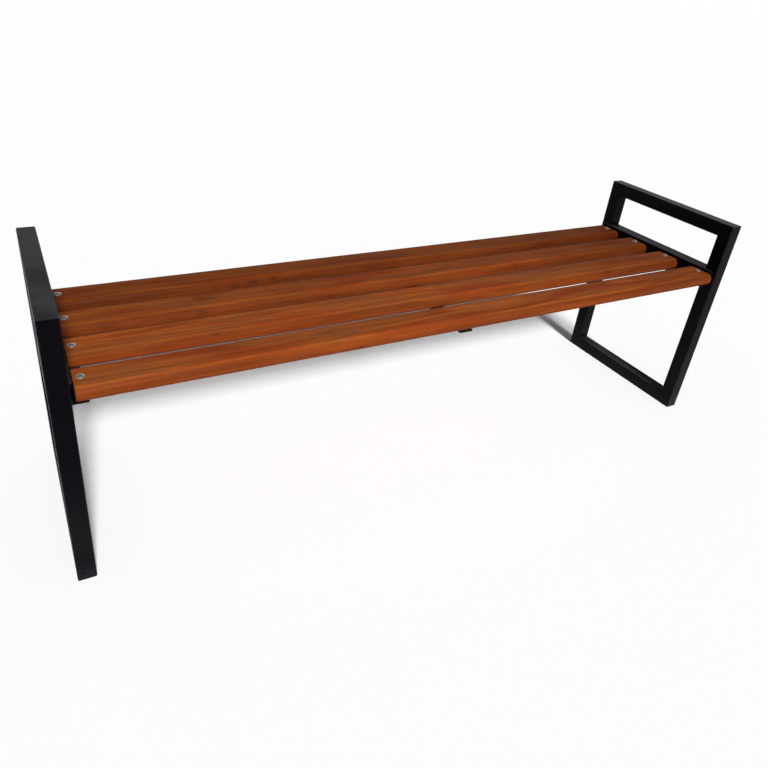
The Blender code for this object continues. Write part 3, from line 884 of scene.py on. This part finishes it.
def add_frame_tubes(side, coat):
    """Show the five tubes of an end frame, closed up at their welds."""
    middle_x = centre_of(side + "_top_rail").x
    upright_y = FRAME_DEPTH / 2 - TUBE / 2
    lie_down = Matrix.Rotation(-QUARTER_TURN, 4, "X")
    face_front = Matrix.Rotation(QUARTER_TURN, 4, "Z")
    face_rear = Matrix.Rotation(-QUARTER_TURN, 4, "Z")
    upright = tube_loops(FRAME_HEIGHT, mitred=True)
    rail = tube_loops(FRAME_DEPTH, mitred=True)
    crossbar = tube_loops(FRAME_DEPTH - 2 * TUBE, mitred=False)
    crossbar_z = centre_of(side + "_crossbar").z
    places = (
        ("front_upright", upright, (-upright_y, FRAME_HEIGHT / 2), face_front),
        ("rear_upright", upright, (upright_y, FRAME_HEIGHT / 2), face_rear),
        ("top_rail", rail, (0.0, FRAME_HEIGHT - TUBE / 2), lie_down @ face_front),
        ("bottom_rail", rail, (0.0, TUBE / 2), lie_down @ face_rear),
        ("crossbar", crossbar, (0.0, crossbar_z), lie_down),
    )
    for name, loops, (y, z), turn in places:
        node = side + "_" + name
        matrix = Matrix.Translation((middle_x, y, z)) @ turn
        mesh = mesh_of_loops(node + "_shape", moved(loops, matrix), closed=True)
        mark_tube(mesh)
        add_piece("coated_" + node, mesh, coat, "frame", node)


def weld_loops(start, end, first_way, second_way, leg):
    """Return the loops of a rippled fillet weld along the corner where two faces meet."""
    run = end - start
    steps = round(run.length / WELD_RIPPLE * WELD_RIPPLE_STEPS)
    arc_angles = [QUARTER_TURN * arc_step / WELD_ARC_STEPS for arc_step in range(WELD_ARC_STEPS + 1)]
    loops = []
    for step in range(steps + 1):
        place = start + run * step / steps
        from_end = min(step, steps - step) / steps * run.length
        taper = min(1.0, math.sqrt((from_end + WELD_RIPPLE / WELD_RIPPLE_STEPS) / leg))
        ripple = WELD_RIPPLE_SHARE * abs(math.sin(math.pi * step / WELD_RIPPLE_STEPS))
        wobble = WELD_WOBBLE_SHARE * noise.noise(place * WELD_WOBBLE_LUMPS)
        size = leg * taper * (WELD_BODY_SHARE + ripple + wobble)
        loop = [place - WELD_SINK * (first_way + second_way)]
        for angle in arc_angles:
            way = math.cos(angle) * first_way + math.sin(angle) * second_way
            crown = 1 + WELD_CROWN * math.sin(2 * angle)
            reach = size * crown / (math.cos(angle) + math.sin(angle))
            loop.append(place + reach * way)
        loops.append(loop)
    return loops


def frame_weld_lines(side, outward):
    """Return (start, end, one face's way, other face's way, leg) for each weld that shows on an end frame."""
    along_x = Vector((1.0, 0.0, 0.0))
    along_y = Vector((0.0, 1.0, 0.0))
    up = Vector((0.0, 0.0, 1.0))
    middle_x = centre_of(side + "_top_rail").x
    face_x = middle_x - outward * TUBE / 2
    half_width = (TUBE / 2 - TUBE_CORNER) * along_x
    half_stitch = WELD_STITCH / 2 * along_y
    inner_y = FRAME_DEPTH / 2 - TUBE
    bar_low, bar_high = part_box(side + "_crossbar")
    angle_low, angle_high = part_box(side + "_support_angle")
    heights = ((TUBE, 1), (bar_low.z, -1), (bar_high.z, 1), (FRAME_HEIGHT - TUBE, -1))
    lines = []
    for end in (-1, 1):
        for height, way in heights:
            corner = Vector((middle_x, end * inner_y, height))
            lines.append((corner - half_width, corner + half_width, way * up, -end * along_y, WELD_LEG))
        foot = Vector((face_x, end * angle_high.y, angle_low.z + ANGLE_TOE))
        head = Vector((face_x, end * angle_high.y, angle_high.z - ANGLE_TOE))
        lines.append((foot, head, end * along_y, -outward * along_x, END_WELD_LEG))
    for y in WELD_STITCHES_Y:
        stitch = Vector((face_x, y, bar_low.z))
        lines.append((stitch - half_stitch, stitch + half_stitch, -up, outward * along_x, WELD_LEG))
    return lines


def add_frame_welds(side, outward, coat):
    """Show the fillet welds of an end frame, coated with it."""
    name = side + "_frame_welds"
    rows = [weld_loops(*line) for line in frame_weld_lines(side, outward)]
    add_piece(name, mesh_of_rows(name, rows), coat, "frame")


def angle_outline(ledge, upright):
    """Return the section of a rolled angle from its outer corner, with a round root and round toes."""
    root = ANGLE_THICKNESS + ANGLE_ROOT
    toe = ANGLE_THICKNESS - ANGLE_TOE
    arcs = (
        ((ledge - ANGLE_TOE, toe), ANGLE_TOE, 0.0, QUARTER_TURN),
        ((root, root), ANGLE_ROOT, 3 * QUARTER_TURN, 2 * QUARTER_TURN),
        ((toe, upright - ANGLE_TOE), ANGLE_TOE, 0.0, QUARTER_TURN),
    )
    outline = [(0.0, 0.0), (ledge, 0.0)]
    for (centre_x, centre_z), radius, start, end in arcs:
        for step in range(ANGLE_ARC_STEPS + 1):
            angle = start + (end - start) * step / ANGLE_ARC_STEPS
            outline.append((centre_x + radius * math.cos(angle), centre_z + radius * math.sin(angle)))
    outline.append((0.0, upright))
    return outline


def add_support_angle(side, outward, coat):
    """Show the angle that carries the plank ends, with its bolt holes."""
    node = side + "_support_angle"
    low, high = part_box(node)
    outline = angle_outline(high.x - low.x, high.z - low.z)
    back_x = high.x if outward > 0 else low.x
    loops = [[Vector((back_x - outward * x, y, low.z + z)) for x, z in outline] for y in (low.y, high.y)]
    bolts = [side + "_bolt_" + str(number) for number in PLANK_NUMBERS]
    mesh = drilled(mesh_of_loops(node + "_shape", loops), node, bolts, BOLT_SHANK_RADIUS)
    add_piece("coated_" + node, mesh, coat, "frame", node)


def add_brace(coat):
    """Show the flat bar under the middle of the seat, with its screw holes."""
    node = "middle_brace"
    low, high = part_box(node)
    size = size_of(node)
    middle = centre_of(node)
    outline = rounded_rectangle(size.x, size.z, BRACE_EDGE, BRACE_ARC_STEPS, BRACE_FLAT_STOPS)
    loops = [[Vector((middle.x + x, y, middle.z + z)) for x, z in outline] for y in (low.y, high.y)]
    screws = ["brace_screw_" + str(number) for number in PLANK_NUMBERS]
    mesh = drilled(mesh_of_loops(node + "_shape", loops), node, screws, SCREW_SHANK_RADIUS)
    add_piece("coated_" + node, mesh, coat, "frame", node)


# Fasteners

def bolt_loops(head_radius, length):
    """Return the loops of a carriage bolt whose head sits on Z = 0: dome, square neck, shank and thread."""
    neck = polygon_radii(BOLT_NECK_SIDES, BOLT_NECK / 2)
    loops = dome_rings(head_radius, BOLT_HEAD_HEIGHT - BOLT_HEAD_RIM, BOLT_HEAD_HEIGHT, BOLT_DOME_STEPS)
    loops.append(ring(head_radius, -BOLT_HEAD_BEDDING))
    loops.append(shaped_ring(neck, -BOLT_HEAD_BEDDING))
    loops.append(shaped_ring(neck, -BOLT_NECK_DEPTH))
    loops.append(ring(BOLT_SHANK_RADIUS, -BOLT_NECK_DEPTH))
    thread_top = THREAD_LENGTH - length
    thread_end = BOLT_TIP - length
    rows = round((thread_top - thread_end) / THREAD_PITCH * THREAD_ROWS_PER_TURN)
    for row in range(rows + 1):
        height = thread_top + (thread_end - thread_top) * row / rows
        depth = THREAD_DEPTH * min(1.0, row / THREAD_ROWS_PER_TURN)
        turns = [(height / THREAD_PITCH - angle / math.tau) % 1.0 for angle in ROUND_ANGLES]
        loops.append(shaped_ring([BOLT_SHANK_RADIUS - depth * abs(2 * turn - 1) for turn in turns], height))
    loops.append(ring(BOLT_SHANK_RADIUS - BOLT_TIP, -length))
    loops.append(ring(0.0, -length))
    return loops


def washer_loops(radius, thickness):
    """Return the loops of a flat washer with its top at Z = 0 and slightly rounded edges."""
    hole = BOLT_SHANK_RADIUS + HOLE_CLEARANCE
    profile = (
        (hole, -WASHER_EDGE),
        (hole + WASHER_EDGE, 0.0),
        (radius - WASHER_EDGE, 0.0),
        (radius, -WASHER_EDGE),
        (radius, WASHER_EDGE - thickness),
        (radius - WASHER_EDGE, -thickness),
        (hole + WASHER_EDGE, -thickness),
        (hole, WASHER_EDGE - thickness),
    )
    return [ring(reach, height) for reach, height in profile]


def nut_loops(across_flats, height):
    """Return the loops of a hexagon nut with its top at Z = 0: chamfered corners and countersunk mouths."""
    depths = [NUT_CHAMFER_DEPTH * row / NUT_CHAMFER_ROWS for row in range(NUT_CHAMFER_ROWS + 1)]
    depths += [height - depth for depth in reversed(depths)]
    hexagon = polygon_radii(NUT_SIDES, across_flats / 2)
    loops = []
    for depth in depths:
        from_end = min(depth, height - depth)
        chamfer = NUT_FACE_SHARE * across_flats / 2 + from_end * NUT_CHAMFER_SLOPE
        loops.append(shaped_ring([min(radius, chamfer) for radius in hexagon], -depth))
    loops.append(ring(NUT_HOLE_RADIUS + NUT_MOUTH, -height))
    loops.append(ring(NUT_HOLE_RADIUS, NUT_MOUTH - height))
    loops.append(ring(NUT_HOLE_RADIUS, -NUT_MOUTH))
    loops.append(ring(NUT_HOLE_RADIUS + NUT_MOUTH, 0.0))
    return loops


def recess_depth(x, y):
    """Return how deep the cross recess of a screw head is at a place."""
    depth = 0.0
    for along, across in ((x, y), (y, x)):
        wall = (RECESS_HALF_WIDTH - abs(across)) / RECESS_SLOPE + 1
        end = (RECESS_ARM - abs(along)) / RECESS_SLOPE
        depth = max(depth, RECESS_DEPTH * max(0.0, min(1.0, wall, end)))
    return depth


def screw_loops(head_radius, length):
    """Return the loops of a pan-head screw that points up, with its head under Z = 0."""
    crown = dome_rings(head_radius, SCREW_HEAD_HEIGHT - SCREW_HEAD_RIM, SCREW_HEAD_HEIGHT, SCREW_DOME_STEPS)
    loops = []
    for crown_ring in crown:
        loops.append([Vector((x, y, recess_depth(x, y) - z)) for x, y, z in crown_ring])
    loops.append(ring(head_radius, 0.0))
    loops.append(ring(SCREW_SHANK_RADIUS, 0.0))
    loops.append(ring(SCREW_SHANK_RADIUS, length - SCREW_TIP))
    loops.append(ring(0.0, length))
    return loops


def add_turned(node, loops, height, turn, zinc, closed=False):
    """Show a turned fastener at its CAD node's axis, at a height, turned about it."""
    middle = centre_of(node)
    matrix = Matrix.Translation((middle.x, middle.y, height)) @ Matrix.Rotation(turn, 4, "Z")
    mesh = mesh_of_loops(node + "_shape", moved(loops, matrix), closed)
    add_piece("zinc_" + node, mesh, zinc, "fasteners", node)


def add_bolt(side, outward, number, zinc):
    """Show one carriage bolt with its washer and its nut."""
    bolt, washer, nut = [side + "_" + kind + "_" + str(number) for kind in ("bolt", "washer", "nut")]
    low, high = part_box(bolt)
    seat_z = high.z - BOLT_HEAD_HEIGHT
    add_turned(bolt, bolt_loops((high.x - low.x) / 2, seat_z - low.z), seat_z, 0.0, zinc)
    size = size_of(washer)
    add_turned(washer, washer_loops(size.x / 2, size.z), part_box(washer)[1].z, 0.0, zinc, closed=True)
    size = size_of(nut)
    turn = outward * number * NUT_TURN_STEP
    add_turned(nut, nut_loops(size.x, size.z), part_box(nut)[1].z, turn, zinc, closed=True)


def add_screw(number, zinc):
    """Show one screw of the brace."""
    node = "brace_screw_" + str(number)
    low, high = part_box(node)
    head_z = low.z + SCREW_HEAD_HEIGHT
    loops = screw_loops((high.x - low.x) / 2, high.z - head_z)
    add_turned(node, loops, head_z, number * SCREW_TURN_STEP, zinc)


# Studio

def add_camera():
    """Place the camera and make it the scene's."""
    data = bpy.data.cameras.new("camera")
    data.lens = CAMERA_LENS_MM
    data.sensor_width = CAMERA_SENSOR_MM
    data.shift_x, data.shift_y = CAMERA_SHIFT
    camera = add_object("camera", data)
    axes = Matrix((CAMERA_RIGHT, CAMERA_UP, CAMERA_RIGHT.cross(CAMERA_UP))).transposed()
    camera.matrix_world = Matrix.Translation(CAMERA_PLACE) @ axes.to_4x4()
    bpy.context.scene.camera = camera


def add_floor():
    """Lay the floor, so pale that it reads white where the lamp reaches it."""
    floor = Surface("studio_floor", {"Base Color": FLOOR_COLOUR, "Roughness": 0.9, "Specular IOR Level": 0.0})
    half = FLOOR_HALF_SIZE
    corners = [(-half, -half, 0.0), (half, -half, 0.0), (half, half, 0.0), (-half, half, 0.0)]
    mesh = finish_mesh("studio_floor", corners, [(0, 1, 2, 3)])
    mesh.materials.append(floor.material)
    add_object("studio_floor", mesh)


def add_lamp():
    """Hang the soft lamp in front of the bench."""
    data = bpy.data.lights.new("soft_lamp", "SUN")
    data.energy = LAMP_STRENGTH
    data.angle = LAMP_WIDTH
    lamp = add_object("soft_lamp", data)
    lamp.rotation_euler = LAMP_FROM.to_track_quat("Z", "Y").to_euler()


def add_sky():
    """Light the room from all round, brightest at the horizon."""
    world = bpy.data.worlds.new("studio")
    world.use_nodes = True
    nodes = world.node_tree.nodes
    links = world.node_tree.links
    way = nodes.new("ShaderNodeTexCoord").outputs["Generated"]
    split = nodes.new("ShaderNodeSeparateXYZ")
    ramp = nodes.new("ShaderNodeValToRGB")
    fill_ramp(ramp, SKY_STOPS)
    links.new(way, split.inputs[0])
    links.new(split.outputs["Z"], ramp.inputs[0])
    links.new(ramp.outputs[0], nodes["Background"].inputs["Color"])
    bpy.context.scene.world = world


# The bench, and the studio round it
coat_material = powder_coat()
zinc_material = zinc_plate()
for plank_number in PLANK_NUMBERS:
    add_plank(plank_number)
for frame_side, frame_outward in SIDES:
    add_frame_tubes(frame_side, coat_material)
    add_frame_welds(frame_side, frame_outward, coat_material)
    add_support_angle(frame_side, frame_outward, coat_material)
add_brace(coat_material)
for plank_number in PLANK_NUMBERS:
    for frame_side, frame_outward in SIDES:
        add_bolt(frame_side, frame_outward, plank_number, zinc_material)
    add_screw(plank_number, zinc_material)
add_floor()
add_lamp()
add_sky()
add_camera()
bpy.context.scene.view_settings.view_transform = "Standard"
